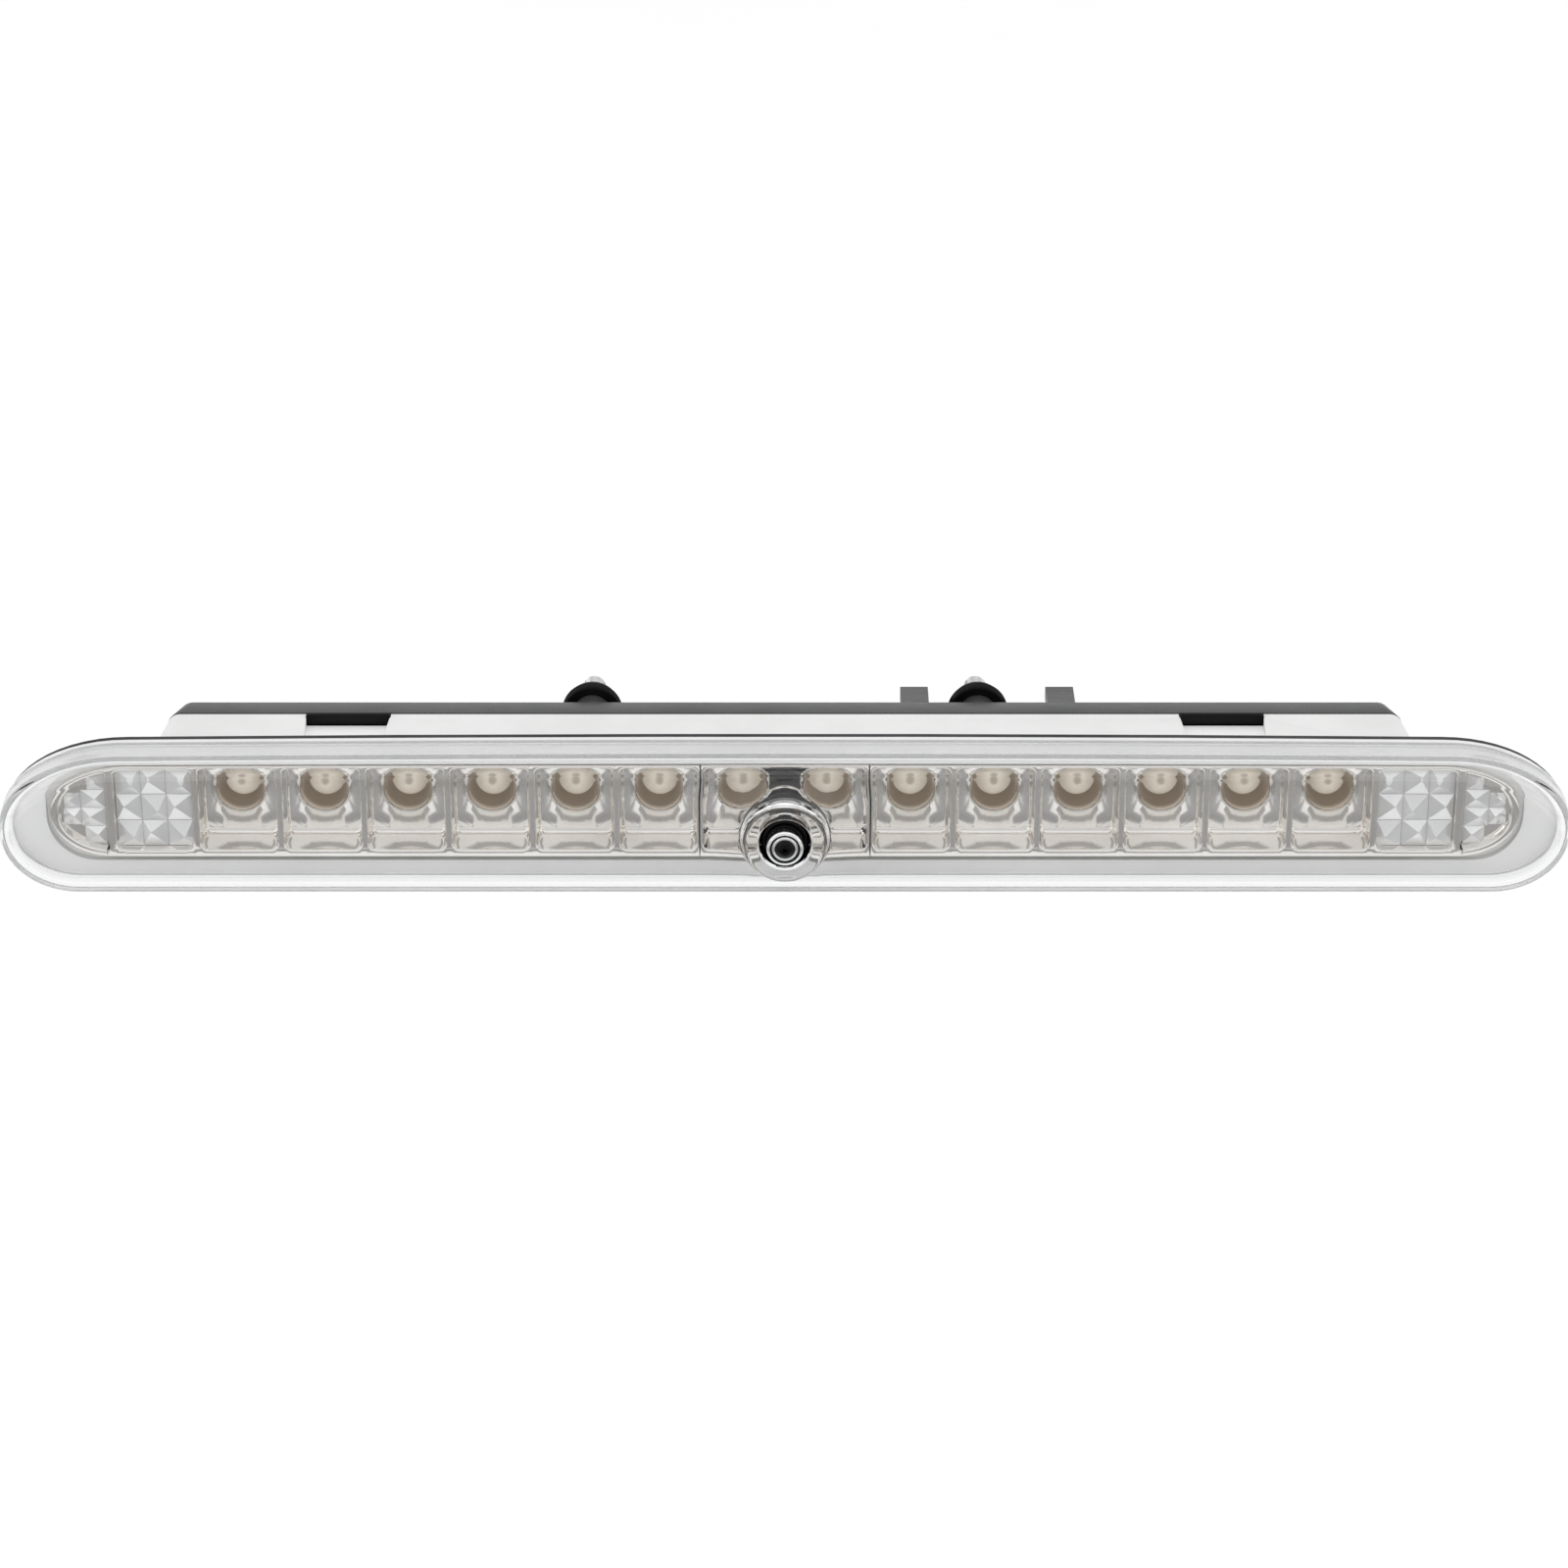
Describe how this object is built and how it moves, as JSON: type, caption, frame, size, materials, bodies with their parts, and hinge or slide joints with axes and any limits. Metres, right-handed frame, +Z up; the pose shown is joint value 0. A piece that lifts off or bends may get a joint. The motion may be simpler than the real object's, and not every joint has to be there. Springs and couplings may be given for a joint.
{
  "type": "third brake light",
  "caption": "Long clear-lens LED third brake light for a tailgate, with chrome reflector cells, a white case, a dark rear cover and a rear-window washer jet through its middle.",
  "frame": {"origin": "midway between the two mounting studs, in the plane where their rubber seals meet the inner panel", "axes": "+Y along the studs, away from the lens and into the tailgate; +X along the lamp's length, to the right as seen from behind the car; +Z up"},
  "size_m": [0.3394, 0.0713, 0.0336],
  "materials": {
    "clear_lens": "polished",
    "bead": "satin",
    "chrome_reflector": "polished",
    "led_epoxy": "polished",
    "tinned_steel": "satin",
    "circuit_board": "satin",
    "chip_black": "matte",
    "zinc_steel": "satin",
    "white_case": "satin",
    "rubber": "satin",
    "foam_gasket": "matte",
    "grey_cover": "satin",
    "black_nylon": "satin",
    "tinned_brass": "satin",
    "satin_ring": "satin"
  },
  "bodies": {
    "lamp": {"outer_lens": "clear_lens", "lens_seal": "bead", "reflector_left": "chrome_reflector", "reflector_centre": "chrome_reflector", "reflector_right": "chrome_reflector", "leds": "led_epoxy", "led_leads": "tinned_steel", "led_board": "circuit_board", "resistors": "chip_black", "rectifier_diode": "chip_black", "board_screws": "zinc_steel", "housing": "white_case", "cover_seal": "rubber", "flange_gasket": "foam_gasket", "back_cover": "grey_cover", "cover_screws": "zinc_steel", "mounting_studs": "zinc_steel", "stud_seal_left": "rubber", "stud_seal_right": "rubber", "connector_shell": "black_nylon", "terminal_pins": "tinned_brass", "vent_cap": "black_nylon", "nozzle_head": "black_nylon", "nozzle_o_ring": "rubber", "nozzle_tube": "black_nylon", "nozzle_washer": "rubber", "nozzle_nut": "black_nylon", "hose_spigot": "black_nylon", "valve_seat": "rubber", "valve_spring": "zinc_steel"},
    "aim_ring": {"aim_ring": "satin_ring"},
    "jet": {"jet_ball": "black_nylon", "jet_insert": "satin_ring"},
    "poppet": {"valve_poppet": "white_case"},
    "hook_left": {"snap_hook_left": "black_nylon"},
    "hook_right": {"snap_hook_right": "black_nylon"}
  },
  "joints": [
    {"name": "aim_ring_turn", "type": "hinge", "parent": "lamp", "child": "aim_ring", "pos_m": [0, -0.056, -0.0085], "axis": [0, 1, 0], "range_deg": [-90, 90]},
    {"name": "jet_tilt", "type": "hinge", "parent": "aim_ring", "child": "jet", "pos_m": [0, -0.056, -0.0085], "axis": [1, 0, 0], "range_deg": [-12, 12]},
    {"name": "valve_lift", "type": "slide", "parent": "lamp", "child": "poppet", "axis": [0, -1, 0], "range_m": [0, 0.0015], "stiffness_N_per_m": 80, "springref_m": -0.002, "deforming": ["valve_spring"]},
    {"name": "snap_hook_left_flex", "type": "hinge", "parent": "lamp", "child": "hook_left", "pos_m": [-0.096, -0.0119, 0.0022], "axis": [1, 0, 0], "range_deg": [0, 9], "stiffness_Nm_per_rad": 0.4, "springref_deg": -2.86},
    {"name": "snap_hook_right_flex", "type": "hinge", "parent": "lamp", "child": "hook_right", "pos_m": [0.096, -0.0119, 0.0022], "axis": [1, 0, 0], "range_deg": [0, 9], "stiffness_Nm_per_rad": 0.4, "springref_deg": -2.86}
  ]
}
